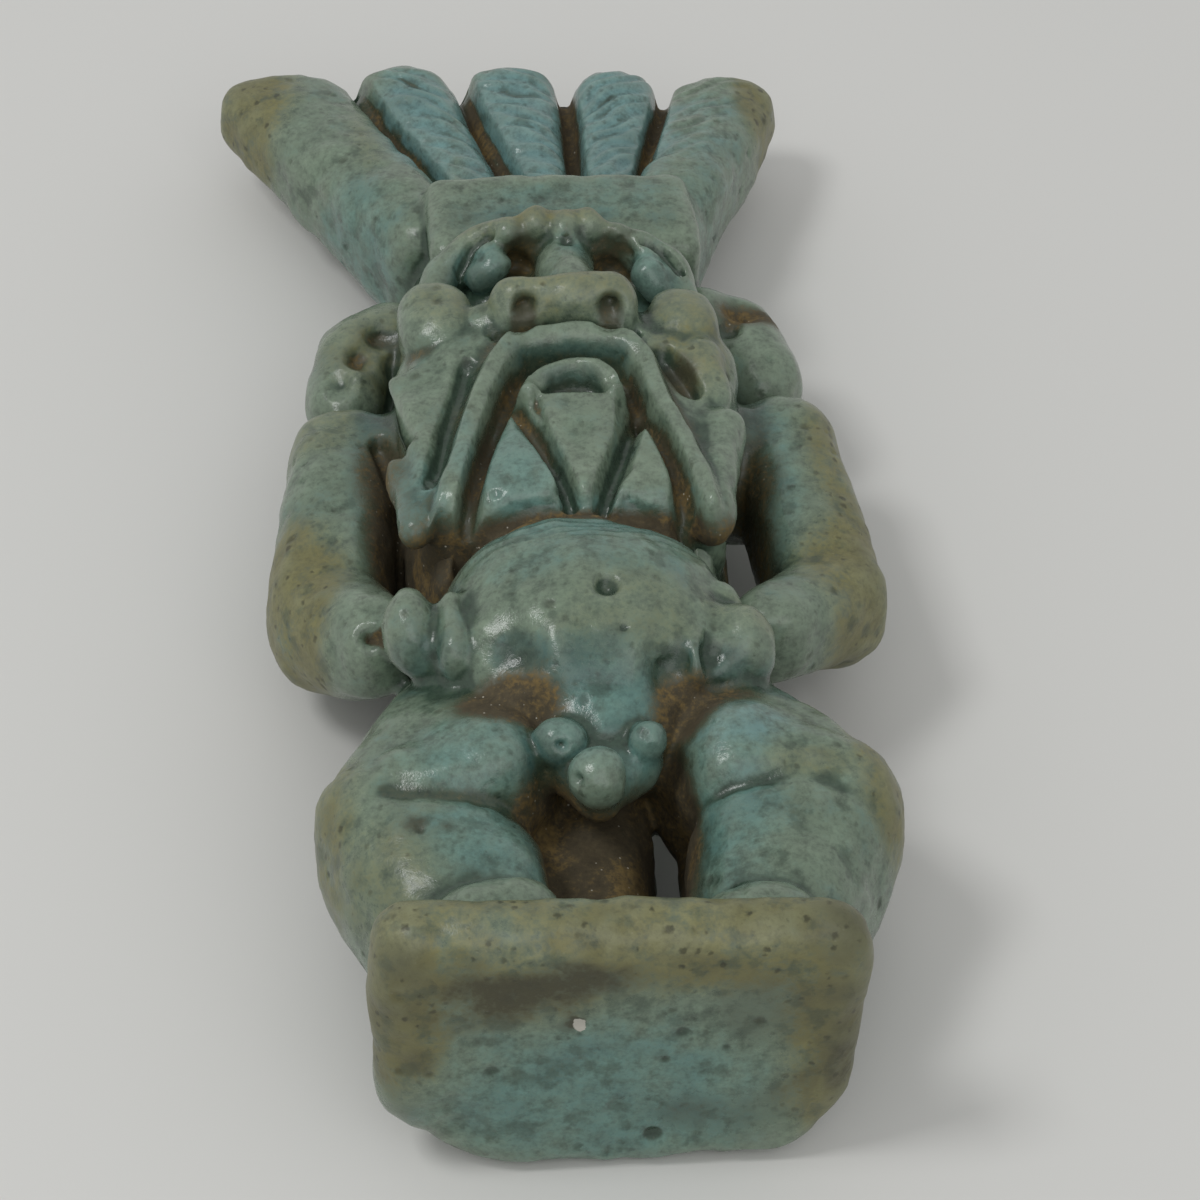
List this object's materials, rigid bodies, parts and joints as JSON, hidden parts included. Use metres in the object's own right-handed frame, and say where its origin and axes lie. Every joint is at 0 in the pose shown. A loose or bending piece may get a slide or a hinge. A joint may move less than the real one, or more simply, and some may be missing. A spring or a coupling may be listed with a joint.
{
  "type": "deity amulet figurine",
  "caption": "Squat bow-legged dwarf god with a lion mask, tongue out, fists on hips and a tall feather crown, in one piece with its small plinth; lies on its back.",
  "frame": {"origin": "middle of the bounding box in X and Y, on the surface it lies on in Z", "axes": "+Z out of the figure's front (it lies on its back), +Y from the plinth to the feather tips, +X to the viewer's right"},
  "size_m": [0.0292, 0.0688, 0.0154],
  "materials": {
    "glazed_faience": "worn satin glaze"
  },
  "bodies": {
    "root": {"bes_figurine": "glazed_faience"}
  },
  "joints": []
}
